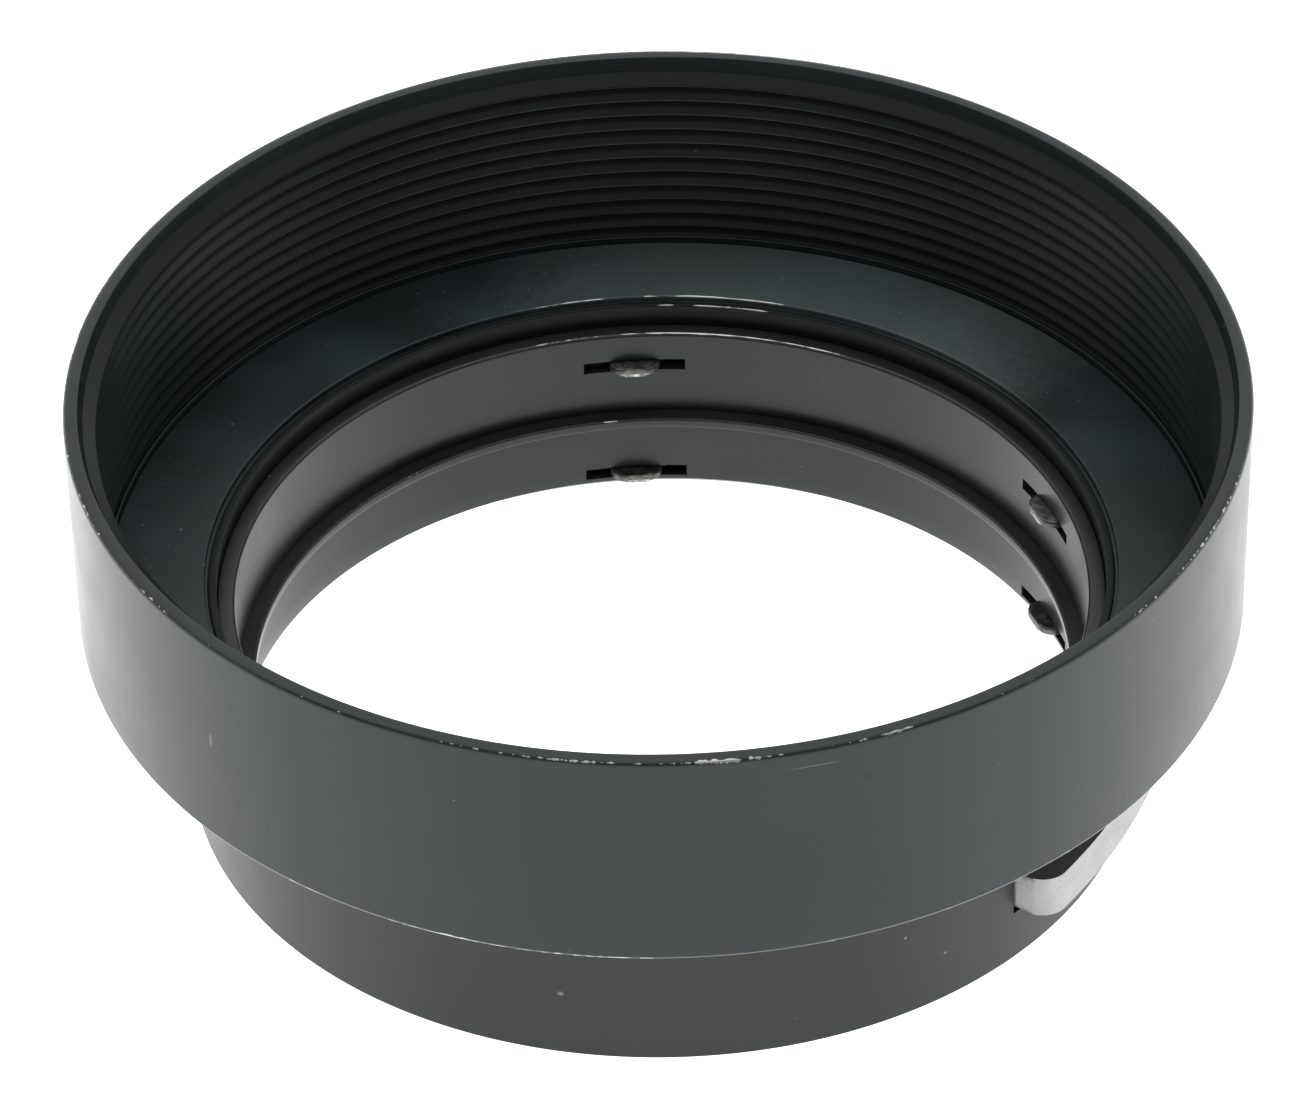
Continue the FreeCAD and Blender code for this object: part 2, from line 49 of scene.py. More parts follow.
RIM_RADIUS = 29.0
RIM_HEIGHT = 22.6
RIM_ROUND = 0.3
WALL_TAPER = 0.24
STEP_HEIGHT = 10.5
LIP_INNER = 28.28
THROAT_INNER = 28.08
THROAT_HEIGHT = 21.9
MOUTH_HEIGHT = 21.4
RIB_CREST = 27.42
RIB_DEPTH = 0.38
RIB_PITCH = 0.88
RIB_FLAT = 0.08
RIB_UNDERCUT = 0.13
RIB_COUNT = 11
FIRST_RIB_DROP = 1.4
WELL_LIP = 12.02
WELL_RADIUS = 27.3
WELL_LEDGE = 0.5
PLATE_FOOT = 11.4
PLATE_TOP = 11.7
PLATE_INNER = 22.55
LOCK_FOOT = 11.0
LOCK_OUTER = 24.6
SLEEVE_RADIUS = 23.62
SLEEVE_BORE = 23.02
NECK_OUTER = 22.38
NECK_BORE = 21.98
NECK_TOP = 11.55
ROOF_HEIGHT = 9.95
SEAT_RADIUS = 21.08
ENTRY_RADIUS = 21.1
LEAD_IN_WIDTH = 0.12
LEAD_IN_DEPTH = 0.1
COLLAR_OUTER = 21.65
COLLAR_RIM = 21.94
COLLAR_TOP = 10.35
FLANGE_RADIUS = 22.98
FLANGE_BOTTOM = 9.15
CLOSING_HEIGHT = 1.1
BEVEL_BOTTOM = 22.43
STOP_BORE = 20.25
STOP_OUTER = 21.32
STOP_BOTTOM = 5.0
STOP_TOP = 5.55
SPANNER_WIDTH = 1.2
SPANNER_DEPTH = 0.35

LOWER_ROW = 1.65
UPPER_ROW = 8.45
SLOT_LENGTH = 5.2
SLOT_HEIGHT = 0.65
TONGUE_REACH = 20.38
TONGUE_WIDTH = 2.6
TONGUE_THICKNESS = 0.45
TONGUE_ROUND = 0.8
NEAR_STATION = 46.2
FAR_STATION = 63.3
CONTACT_ANGLE = 17.5
PIVOT_RADIUS = 22.33
KNUCKLE_RADIUS = 0.6
EYE_RADIUS = 0.36
LEVER_INNER = 21.69
LEVER_OUTER = 22.01
LEVER_OVERRUN = 4.2
FINGER_OVERRUN = 0.8
FINGER_BOTTOM = 2.5
FINGER_TOP = 4.75
COIL_BOTTOM = 4.9
COIL_TOP = 6.6
COIL_ROOM_ANGLE = 1.9

BAR_TRAVEL = 0.78
BAR_BOTTOM = 2.95
BAR_TOP = 5.2
BAR_HALF_LENGTH = 8.35
BAR_CROWN = 25.0
CROWN_RADIUS = 36.0
BAR_END_ROUND = 1.3
BAR_EDGE_ROUND = 0.4
BAR_PAD = 22.83
KEEPER_INNER = 22.72
KEEPER_ANGLE = 22.8
KEEPER_MARGIN = 0.7
PAD_MARGIN = 0.1
WINDOW_CLEARANCE = 0.15

STATIONS = (("near", NEAR_STATION, 1), ("far", FAR_STATION, -1))
SIDES = (("right", 0.0), ("left", 180.0))

# ------------------------------------------------------------ camera

CAMERA_HEADING = 113.5
CAMERA_ELEVATION = 37.72
CAMERA_ROLL = -1.02
CAMERA_DISTANCE = 0.48424
CAMERA_LENS = 272.27
CAMERA_TARGET = Vector((0.00183, -0.00462, 0.01618))


def make_camera():
    heading = math.radians(CAMERA_HEADING)
    drop = math.radians(CAMERA_ELEVATION)
    forward = Vector(
        (
            math.cos(heading) * math.cos(drop),
            math.sin(heading) * math.cos(drop),
            -math.sin(drop),
        )
    )
    right = forward.cross(Vector((0, 0, 1))).normalized()
    up = right.cross(forward)
    roll = math.radians(CAMERA_ROLL)
    tilted_right = math.cos(roll) * right + math.sin(roll) * up
    tilted_up = -math.sin(roll) * right + math.cos(roll) * up
    data = bpy.data.cameras.new("camera")
    data.lens = CAMERA_LENS
    data.sensor_width = 36
    data.clip_end = 20
    camera = bpy.data.objects.new("camera", data)
    turn = Matrix((tilted_right, tilted_up, -forward)).transposed().to_4x4()
    camera.matrix_world = Matrix.Translation(CAMERA_TARGET - forward * CAMERA_DISTANCE) @ turn
    bpy.context.collection.objects.link(camera)
    bpy.context.scene.camera = camera


# ------------------------------------------------------------ shading helpers


class Shade:
    """Builds one node material. Positions inside it are in millimetres."""

    def __init__(self, name):
        self.material = bpy.data.materials.new(name)
        self.material.use_nodes = True
        self.nodes = self.material.node_tree.nodes
        self.links = self.material.node_tree.links
        self.surface = self.nodes["Principled BSDF"]
        place = self.nodes.new("ShaderNodeTexCoord").outputs["Object"]
        scaled = self.nodes.new("ShaderNodeVectorMath")
        scaled.operation = "SCALE"
        self.feed(scaled.inputs[0], place)
        scaled.inputs["Scale"].default_value = 1 / MM
        self.place = scaled.outputs["Vector"]
        split = self.nodes.new("ShaderNodeSeparateXYZ")
        self.feed(split.inputs[0], self.place)
        self.x, self.y, self.z = split.outputs
        across = self.maths("MULTIPLY", self.x, self.x)
        along = self.maths("MULTIPLY", self.y, self.y)
        self.r = self.maths("SQRT", self.maths("ADD", across, along))
        self.angle = self.maths("ARCTAN2", self.y, self.x)

    def feed(self, socket, value):
        """Links a socket, or sets its number or colour."""
        if isinstance(value, bpy.types.NodeSocket):
            self.links.new(value, socket)
        else:
            socket.default_value = value

    def maths(self, operation, *values):
        node = self.nodes.new("ShaderNodeMath")
        node.operation = operation
        for socket, value in zip(node.inputs, values):
            self.feed(socket, value)
        return node.outputs[0]

    def ramp(self, value, low, high, start=0.0, end=1.0):
        """Goes smoothly from start to end while the value goes from low to high."""
        node = self.nodes.new("ShaderNodeMapRange")
        node.interpolation_type = "SMOOTHSTEP"
        for socket, entry in zip(node.inputs, (value, low, high, start, end)):
            self.feed(socket, entry)
        return node.outputs[0]

    def vector(self, x, y, z):
        node = self.nodes.new("ShaderNodeCombineXYZ")
        for socket, value in zip(node.inputs, (x, y, z)):
            self.feed(socket, value)
        return node.outputs[0]

    def noise(self, scale, place=None, detail=3.0):
        """Noise with about this many waves in each millimetre."""
        node = self.nodes.new("ShaderNodeTexNoise")
        self.feed(node.inputs["Vector"], place or self.place)
        node.inputs["Scale"].default_value = scale
        node.inputs["Detail"].default_value = detail
        return node.outputs[0]

    def specks(self, scale, size, share):
        """Small round spots: a share of the cells of this many to the millimetre hold one."""
        node = self.nodes.new("ShaderNodeTexVoronoi")
        self.feed(node.inputs["Vector"], self.place)
        node.inputs["Scale"].default_value = scale
        spot = self.ramp(node.outputs["Distance"], size, size * 0.5)
        tint = self.nodes.new("ShaderNodeSeparateColor")
        self.feed(tint.inputs[0], node.outputs["Color"])
        chosen = self.maths("LESS_THAN", tint.outputs[0], share)
        return self.maths("MULTIPLY", spot, self.maths("MULTIPLY", chosen, tint.outputs[1]))

    def edge(self, radius, height, width, break_scale, cover, busy=()):
        """Bare metal along one turned edge, in pieces that gather in some stretches, at the busy angles most:
        real wear chips on some edges, a painted highlight line on others.
        """
        gap_r = self.maths("SUBTRACT", self.r, radius)
        gap_z = self.maths("SUBTRACT", self.z, height)
        square = self.maths("ADD", self.maths("MULTIPLY", gap_r, gap_r), self.maths("MULTIPLY", gap_z, gap_z))
        near = self.maths("DIVIDE", self.maths("SQRT", square), width)
        stretches = self.maths("MULTIPLY", self.noise(0.16, detail=1.0), 0.7)
        amount = self.maths("ADD", self.noise(break_scale, detail=6.0), self.maths("ADD", stretches, cover))
        for angle, spread, extra in busy:
            away = self.maths("ABSOLUTE", self.maths("SUBTRACT", self.angle, math.radians(angle)))
            amount = self.maths("ADD", amount, self.ramp(away, 0.0, math.radians(spread), extra, 0.0))
        return self.ramp(self.maths("SUBTRACT", amount, self.maths("MULTIPLY", near, 0.3)), 1.0, 1.05)

    def mark(self, angle, height, wide, tall, softness=0.5):
        """A soft blot on a turned wall, at an angle in degrees and a height."""
        away = self.maths("SUBTRACT", self.angle, math.radians(angle))
        side = self.maths("DIVIDE", self.maths("MULTIPLY", away, self.r), wide)
        rise = self.maths("DIVIDE", self.maths("SUBTRACT", self.z, height), tall)
        ragged = self.maths("MULTIPLY", self.noise(2.5), softness)
        square = self.maths("ADD", self.maths("MULTIPLY", side, side), self.maths("MULTIPLY", rise, rise))
        return self.ramp(self.maths("ADD", square, ragged), 1.0 + softness / 2, softness / 2)

    def band(self, value, low, high, softness):
        """Is 1 where the value lies between low and high, and fades to 0 outside."""
        rise = self.ramp(value, low - softness, low)
        return self.maths("MULTIPLY", rise, self.ramp(value, high, high + softness, 1.0, 0.0))

    def region(self, radii, heights, softness):
        """Is 1 inside a ring-shaped region between two radii and two heights."""
        return self.maths(
            "MULTIPLY", self.band(self.r, *radii, softness), self.band(self.z, *heights, softness)
        )

    def either(self, *masks):
        total = masks[0]
        for mask in masks[1:]:
            total = self.maths("MAXIMUM", total, mask)
        return total

    def layer(self, socket_name, mask, under, over):
        """Lays one number or colour over another, by a mask, and gives the result."""
        node = self.nodes.new("ShaderNodeMix")
        if isinstance(over, tuple):
            node.data_type = "RGBA"
            self.feed(node.inputs[6], under)
            self.feed(node.inputs[7], over)
            result = node.outputs[2]
        else:
            self.feed(node.inputs[2], under)
            self.feed(node.inputs[3], over)
            result = node.outputs[0]
        self.feed(node.inputs[0], mask)
        self.feed(self.surface.inputs[socket_name], result)
        return result

    def bump(self, height, depth):
        """Raises the surface by the height times this depth, in millimetres."""
        node = self.nodes.new("ShaderNodeBump")
        node.inputs["Strength"].default_value = 1.0
        node.inputs["Distance"].default_value = depth * MM
        self.feed(node.inputs["Height"], height)
        self.feed(self.surface.inputs["Normal"], node.outputs[0])


ANODISED_IOR = 1.38
SHELL_BLACK = (0.008, 0.0125, 0.0125, 1)
BAFFLE_BLACK = (0.009, 0.014, 0.015, 1)
SLEEVE_BLACK = (0.012, 0.0135, 0.013, 1)
COLLAR_BLACK = (0.014, 0.0165, 0.0165, 1)
# Bright bare metal: the rim's real wear chips, and painted highlight lines along other edges.
BARE_METAL_AND_HIGHLIGHT = (0.42, 0.43, 0.42, 1)
DUST = (0.3, 0.3, 0.28, 1)
# The tone of two broad pale patches on the plate.
PALE_PATCH_TONE = (0.26, 0.31, 0.31, 1)
BAR_METAL = (0.38, 0.385, 0.38, 1)
BAR_DIRT = (0.18, 0.18, 0.17, 1)
# Painted shade laid on towards the bar's ends.
BAR_END_PAINTED_SHADE = (0.3, 0.3, 0.29, 1)
STRIP_DARK = (0.07, 0.07, 0.067, 1)
STRIP_PALE = (0.16, 0.158, 0.15, 1)
# Bright metal on the tongues' noses: rubbing, and a painted highlight along the lower front edges.
STRIP_RUBBED_AND_HIGHLIT = (0.42, 0.415, 0.4, 1)
TURNING_WAVES = 6.0
DRAWN_WAVES = 14.0
COOL_SHEEN = (0.94, 1.0, 0.99, 1)
# Painted shade: a darker, less reflective black laid over recesses such as the rib grooves.
PAINTED_SHADE_BLACK = (0.01, 0.012, 0.012, 1)
PAINTED_SHADE_IOR = 1.18


def anodised(name, colour, roughness, wear_and_highlights=(), marks=(), painted_shade=(), dust=0.1, mottle=1.25, grain=0.0012):
    """Black anodised aluminium: satin, a little dusty, bare where its edges have rubbed, with painted
    highlight lines along some edges and painted shade in some recesses.
    """
    shade = Shade(name)
    cloud = shade.noise(0.12, detail=4.0)
    fine = shade.noise(9.0, detail=2.0)
    rings = shade.vector(
        shade.maths("MULTIPLY", shade.r, TURNING_WAVES), 0.0, shade.maths("MULTIPLY", shade.z, TURNING_WAVES)
    )
    turning = shade.noise(1.0, rings)

    pale = tuple(min(1.0, part * mottle) for part in colour[:3]) + (1,)
    base = shade.layer("Base Color", shade.ramp(cloud, 0.35, 0.7), colour, pale)
    specks = shade.either(shade.specks(0.55, 0.055, dust), shade.specks(1.7, 0.1, dust * 0.6))
    base = shade.layer("Base Color", shade.maths("MULTIPLY", specks, 0.55), base, DUST)
    for angle, height, wide, tall, strength, tone in marks:
        blot = shade.maths("MULTIPLY", shade.mark(angle, height, wide, tall), strength)
        base = shade.layer("Base Color", blot, base, tone)
    shade.surface.inputs["IOR"].default_value = ANODISED_IOR
    shade.surface.inputs["Specular Tint"].default_value = COOL_SHEEN
    # Painted shade in recesses: a darker colour and a lower IOR inside the given regions.
    if painted_shade:
        painted_shade_mask = shade.either(*(shade.region(*region) for region in painted_shade))
        base = shade.layer("Base Color", painted_shade_mask, base, PAINTED_SHADE_BLACK)
        shade.layer("IOR", painted_shade_mask, ANODISED_IOR, PAINTED_SHADE_IOR)
    rough = shade.ramp(cloud, 0.3, 0.7, roughness - 0.03, roughness + 0.05)
    rough = shade.maths("ADD", rough, shade.maths("MULTIPLY", turning, 0.04))
    # Bright bare metal along edges: real wear chips on some, painted highlight lines on others.
    if wear_and_highlights:
        worn_and_highlit = shade.either(*(shade.edge(*edge) for edge in wear_and_highlights))
        base = shade.layer("Base Color", worn_and_highlit, base, BARE_METAL_AND_HIGHLIGHT)
        shade.layer("Metallic", worn_and_highlit, 0.0, 0.9)
        shade.layer("Roughness", worn_and_highlit, rough, 0.35)
    else:
        shade.feed(shade.surface.inputs["Roughness"], rough)
    relief = shade.maths("ADD", fine, shade.maths("MULTIPLY", turning, 0.6))
    shade.bump(relief, grain)
    return shade.material


def satin_metal(name):
    """Bead-blasted, satin plated metal, with dirt in its pits and painted shade towards its ends."""
    shade = Shade(name)
    pits = shade.noise(7.0, detail=4.0)
    cloud = shade.noise(0.6)
    dirt = shade.maths("MULTIPLY", shade.ramp(pits, 0.55, 0.7), 0.4)
    base = shade.layer("Base Color", dirt, BAR_METAL, BAR_DIRT)
    # Painted shade: the colour darkens towards the bar's ends.
    along = shade.maths("ABSOLUTE", shade.y)
    ends = shade.ramp(along, BAR_HALF_LENGTH - 0.5, BAR_HALF_LENGTH - 0.05, 0.0, 0.75)
    shade.layer("Base Color", ends, base, BAR_END_PAINTED_SHADE)
    shade.surface.inputs["Metallic"].default_value = 1.0
    shade.feed(shade.surface.inputs["Roughness"], shade.ramp(cloud, 0.3, 0.7, 0.5, 0.6))
    shade.bump(pits, 0.02)
    return shade.material


def blackened_metal(name):
    """Blackened spring strip, rubbed bright where the catches meet the lens, with a painted highlight along
    their lower front edges.
    """
    shade = Shade(name)
    patches = shade.noise(3.0, detail=5.0)
    ragged = shade.maths("ADD", shade.r, shade.maths("MULTIPLY", patches, 0.3))
    nose = shade.ramp(ragged, TONGUE_REACH + 0.2, TONGUE_REACH + 0.12)
    # Only the lower front edges of each tongue: a painted highlight there, on top of the rubbing.
    lower_edges = shade.either(
        *(shade.band(shade.z, row - 0.26, row - 0.1, 0.06) for row in (LOWER_ROW, UPPER_ROW))
    )
    nose = shade.maths("MULTIPLY", nose, lower_edges)
    base = shade.layer("Base Color", shade.ramp(patches, 0.4, 0.65), STRIP_DARK, STRIP_PALE)
    shade.layer("Base Color", nose, base, STRIP_RUBBED_AND_HIGHLIT)
    shade.surface.inputs["Metallic"].default_value = 0.85
    rough = shade.ramp(patches, 0.3, 0.7, 0.4, 0.55)
    shade.layer("Roughness", nose, rough, 0.2)
    shade.bump(patches, 0.006)
    return shade.material


def drawn_steel(name, colour, roughness):
    """Plain drawn steel, with fine lines along its length."""
    shade = Shade(name)
    across = shade.vector(
        shade.maths("MULTIPLY", shade.x, DRAWN_WAVES), shade.maths("MULTIPLY", shade.y, DRAWN_WAVES), shade.z
    )
    lines = shade.noise(1.0, across)
    darker = tuple(part * 0.7 for part in colour[:3]) + (1,)
    shade.layer("Base Color", shade.ramp(lines, 0.4, 0.7), colour, darker)
    shade.surface.inputs["Metallic"].default_value = 1.0
    rough = shade.ramp(lines, 0.3, 0.7, roughness - 0.06, roughness + 0.08)
    shade.feed(shade.surface.inputs["Roughness"], rough)
    shade.bump(lines, 0.002)
    return shade.material


# Where the rim's chips gather: an angle, how far to each side, and how many more chips.
RIM_INSET = 0.08
# How far in from the rim's outer corner the painted highlight line on the far rim lies.
RIM_HIGHLIGHT_INSET = 0.2
RIM_CHIPS = (
    (-76.0, 4.0, 0.12),
    (-60.0, 7.0, 0.16),
    (-46.0, 6.0, 0.12),
    (-17.0, 6.0, 0.1),
    (-121.0, 5.0, 0.08),
)
# Each edge is a radius, a height, a width, a scale for its breaks and how much of it is bare: real wear chips
# on some edges, painted highlight lines on others.
SHELL_WEAR_AND_HIGHLIGHTS = (
    (RIM_RADIUS - RIM_INSET, RIM_HEIGHT - RIM_INSET, 0.12, 2.8, 0.09, RIM_CHIPS),
    # A painted highlight line along the far part of the rim's outer round.
    (RIM_RADIUS - RIM_HIGHLIGHT_INSET, RIM_HEIGHT, 0.07, 1.0, -0.1, ((105.0, 30.0, 0.5),)),
    # A bright bare-metal line along the foot of the wide part, at the step, nearly all round.
    (RIM_RADIUS - WALL_TAPER - 0.04, STEP_HEIGHT + 0.04, 0.16, 1.2, 0.2),
)
SLEEVE_WEAR_AND_HIGHLIGHT = (
    # The neck's top inner edge: a painted highlight line, strongest on the far side.
    (NECK_BORE, NECK_TOP, 0.045, 0.8, -0.05, ((110.0, 45.0, 0.5),)),
    (SLEEVE_RADIUS, 0.0, 0.12, 1.4, 0.0),
)
# The plate's inner edge: a painted highlight line, strongest on the far side.
BAFFLE_HIGHLIGHT = ((PLATE_INNER, PLATE_TOP, 0.065, 0.5, -0.05, ((110.0, 45.0, 0.5),)),)
# Painted highlight lines along the collar's entry edge and the stop ring's top and bottom inner edges; the
# first two are strongest on the far side.
COLLAR_HIGHLIGHTS = (
    (ENTRY_RADIUS + LEAD_IN_WIDTH, COLLAR_TOP, 0.06, 0.9, -0.08, ((110.0, 45.0, 0.5),)),
    (STOP_BORE, STOP_TOP, 0.14, 0.8, 0.0, ((113.0, 20.0, 0.06),)),
    (STOP_BORE, STOP_BOTTOM, 0.14, 0.8, -0.02),
)
# Each painted-shade region is a pair of radii, a pair of heights and how softly it fades.
SHELL_PAINTED_SHADE = (
    # Painted shade deep in the rib grooves, under each crest.
    ((RIB_CREST + 0.23, RIB_CREST + RIB_DEPTH + 0.1), (WELL_LIP, MOUTH_HEIGHT - 0.1), 0.09),
    # Painted shade on the mouth cone below the throat.
    ((RIB_CREST, THROAT_INNER + 0.02), (MOUTH_HEIGHT, THROAT_HEIGHT), 0.06),
)
# Painted shade inside the neck bore.
SLEEVE_PAINTED_SHADE = (((SEAT_RADIUS, NECK_OUTER - 0.1), (ROOF_HEIGHT, NECK_TOP), 0.05),)
# Each mark is an angle, a height, a width, a depth, a strength and a colour.
SMUDGE = (0.008, 0.008, 0.008, 1)
SHELL_MARKS = (
    (-47.6, 20.3, 0.4, 0.3, 0.8, SMUDGE),
    (-47.6, 18.6, 0.35, 0.45, 0.7, SMUDGE),
    (-63.6, 17.4, 0.22, 0.14, 0.9, SMUDGE),
    (-114.8, 16.6, 0.1, 0.5, 0.5, DUST),
    (-52.5, 21.6, 1.6, 0.05, 0.25, DUST),
)
# Two broad pale patches on the far part of the plate.
BAFFLE_MARKS = (
    (98.0, PLATE_TOP, 17.0, 3.0, 0.15, PALE_PATCH_TONE),
    (70.0, PLATE_TOP, 6.0, 3.0, 0.1, PALE_PATCH_TONE),
)
SLEEVE_MARKS = (
    (-79.2, 3.7, 0.2, 0.16, 0.5, DUST),
    (-37.5, 4.8, 0.12, 0.12, 0.5, DUST),
    (-31.9, 2.8, 0.14, 0.1, 0.5, DUST),
)


def make_materials():
    return {
        "anodised_shell": anodised(
            "anodised_shell", SHELL_BLACK, 0.26, SHELL_WEAR_AND_HIGHLIGHTS, SHELL_MARKS, SHELL_PAINTED_SHADE, dust=0.06
        ),
        "anodised_baffle": anodised(
            "anodised_baffle", BAFFLE_BLACK, 0.42, BAFFLE_HIGHLIGHT, BAFFLE_MARKS, dust=0.6, mottle=1.9
        ),
        "anodised_sleeve": anodised(
            "anodised_sleeve", SLEEVE_BLACK, 0.3, SLEEVE_WEAR_AND_HIGHLIGHT, SLEEVE_MARKS, SLEEVE_PAINTED_SHADE, dust=0.08
        ),
        "anodised_collar": anodised("anodised_collar", COLLAR_BLACK, 0.27, COLLAR_HIGHLIGHTS, dust=0.08),
        "satin_bar": satin_metal("satin_bar"),
        "blackened_strip": blackened_metal("blackened_strip"),
        "bright_steel": drawn_steel("bright_steel", (0.6, 0.6, 0.6, 1), 0.28),
        "spring_wire": drawn_steel("spring_wire", (0.45, 0.45, 0.46, 1), 0.34),
    }


# ------------------------------------------------------------ shape helpers


def rounded(corners):
    """A closed section whose corners are short arcs. A corner is (radius, height, rounding)."""
    points = []
    count = len(corners)
    for index, (radius, height, rounding) in enumerate(corners):
        here = Vector((radius, height))
        before = Vector(corners[index - 1][:2]) - here
        after = Vector(corners[(index + 1) % count][:2]) - here
        reach = min(rounding, 0.45 * before.length, 0.45 * after.length)
        start = here + before.normalized() * reach
        end = here + after.normalized() * reach
        for step in range(ARC_STEPS + 1):
            t = step / ARC_STEPS
            points.append((1 - t) ** 2 * start + 2 * t * (1 - t) * here + t * t * end)
    return points


def soft(*corners, rounding=SOFT):
    """Gives every corner that has no rounding of its own the usual one."""
    return [corner if len(corner) == 3 else (*corner, rounding) for corner in corners]


def turn_section(shape, corners, centre=(0.0, 0.0), steps=TURN_STEPS):
    """Adds a section turned about an upright axis to a bmesh."""
    section = rounded(corners)
    rings = []
    for step in range(steps):
        angle = 2 * math.pi * step / steps
        rings.append(
            [
                shape.verts.new(
                    (
                        (centre[0] + point.x * math.cos(angle)) * MM,
                        (centre[1] + point.x * math.sin(angle)) * MM,
                        point.y * MM,
                    )
                )
                for point in section
            ]
        )
    for ring, following in zip(rings, rings[1:] + rings[:1]):
        for index in range(len(section)):
            after = (index + 1) % len(section)
            shape.faces.new((ring[index], ring[after], following[after], following[index]))


def prism(shape, outline, bottom, top):
    """Adds an upright solid to a bmesh, from its plan outline, and gives its end faces."""
    low = [shape.verts.new((x * MM, y * MM, bottom * MM)) for x, y in outline]
    high = [shape.verts.new((x * MM, y * MM, top * MM)) for x, y in outline]
    for index in range(len(outline)):
        after = (index + 1) % len(outline)
        shape.faces.new((low[index], low[after], high[after], high[index]))
    return shape.faces.new(list(reversed(low))), shape.faces.new(high)


def arc(centre, radius, start, end, steps):
    """Points on a circle between two angles in degrees."""
    points = []
    for step in range(steps + 1):
        angle = math.radians(start + (end - start) * step / steps)
        points.append((centre[0] + radius * math.cos(angle), centre[1] + radius * math.sin(angle)))
    return points


def sector(inner, outer, start, end, steps=16):
    low, high = min(start, end), max(start, end)
    return arc((0, 0), outer, low, high, steps) + arc((0, 0), inner, high, low, steps)


def turned_about(points, angle, pivot=(0.0, 0.0)):
    """Plan points turned by an angle in degrees about a pivot."""
    cosine, sine = math.cos(math.radians(angle)), math.sin(math.radians(angle))
    result = []
    for x, y in points:
        dx, dy = x - pivot[0], y - pivot[1]
        result.append((pivot[0] + dx * cosine - dy * sine, pivot[1] + dx * sine + dy * cosine))
    return result


def sweep_section(shape, corners, start, end, steps=32):
    """Sweeps a closed section about Z between two angles in degrees, and closes both ends."""
    rows = []
    for step in range(steps + 1):
        turn = math.radians(start + (end - start) * step / steps)
        rows.append(
            [
                shape.verts.new((r * math.cos(turn) * MM, r * math.sin(turn) * MM, z * MM))
                for r, z in corners
            ]
        )
    for before, after in zip(rows, rows[1:]):
        for index in range(len(corners)):
            shape.faces.new((before[index - 1], before[index], after[index], after[index - 1]))
    shape.faces.new(rows[0])
    shape.faces.new(rows[-1][::-1])


def round_rims(shape, faces, width, keep, steps=4):
    """Rounds the edges of two end faces, except where keep says to leave one alone."""
    edges = [edge for face in faces for edge in face.edges if not keep(edge)]
    bmesh.ops.bevel(
        shape,
        geom=edges,
        offset=width * MM,
        segments=steps,
        profile=0.5,
        affect="EDGES",
        clamp_overlap=True,
    )


def smooth_mesh(mesh):
    """Smooth shading, broken at sharp edges."""
    shape = bmesh.new()
    shape.from_mesh(mesh)
    bmesh.ops.remove_doubles(shape, verts=shape.verts, dist=1e-7)
    bmesh.ops.recalc_face_normals(shape, faces=shape.faces)
    for face in shape.faces:
        face.smooth = True
    for edge in shape.edges:
        edge.smooth = edge.calc_face_angle(0.0) < SHARP_ANGLE
    shape.to_mesh(mesh)
    shape.free()


def carve(piece, outlines):
    """Cuts upright or crosswise blocks, each given as a bmesh builder, out of a piece."""
    cutter_shape = bmesh.new()
    for build in outlines:
        build(cutter_shape)
    bmesh.ops.recalc_face_normals(cutter_shape, faces=cutter_shape.faces)
    cutter_mesh = bpy.data.meshes.new("cutter")
    cutter_shape.to_mesh(cutter_mesh)
    cutter_shape.free()
    cutter = bpy.data.objects.new("cutter", cutter_mesh)
    bpy.context.collection.objects.link(cutter)
    cut = piece.modifiers.new("cut", "BOOLEAN")
    cut.operation = "DIFFERENCE"
    cut.solver = "EXACT"
    cut.object = cutter
    evaluated = piece.evaluated_get(bpy.context.evaluated_depsgraph_get())
    carved = bpy.data.meshes.new_from_object(evaluated)
    piece.modifiers.clear()
    piece.data = carved
    bpy.data.objects.remove(cutter)


def block(start, end, breadth, bottom, top, angle):
    """A builder for a block that runs outwards from start to end, at an angle."""
    corners = [(start, -breadth / 2), (end, -breadth / 2), (end, breadth / 2), (start, breadth / 2)]
    return lambda shape: prism(shape, turned_about(corners, angle), bottom, top)


def new_piece(name, shape):
    mesh = bpy.data.meshes.new(name)
    bmesh.ops.recalc_face_normals(shape, faces=shape.faces)
    shape.to_mesh(mesh)
    shape.free()
    piece = bpy.data.objects.new(name, mesh)
    bpy.context.collection.objects.link(piece)
    return piece


def turned_piece(name, corners):
    shape = bmesh.new()
    turn_section(shape, corners)
    return new_piece(name, shape)


def fit(piece, node, body, slot, materials):
    """Finishes a piece: its shading, its material, its body and the CAD node it stands for."""
    smooth_mesh(piece.data)
    weighted = piece.modifiers.new("weighted", "WEIGHTED_NORMAL")
    weighted.keep_sharp = True
    piece.data.materials.clear()
    piece.data.materials.append(materials[slot])
    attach(piece, body)
    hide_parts(node)


# ------------------------------------------------------------ the fixed pieces


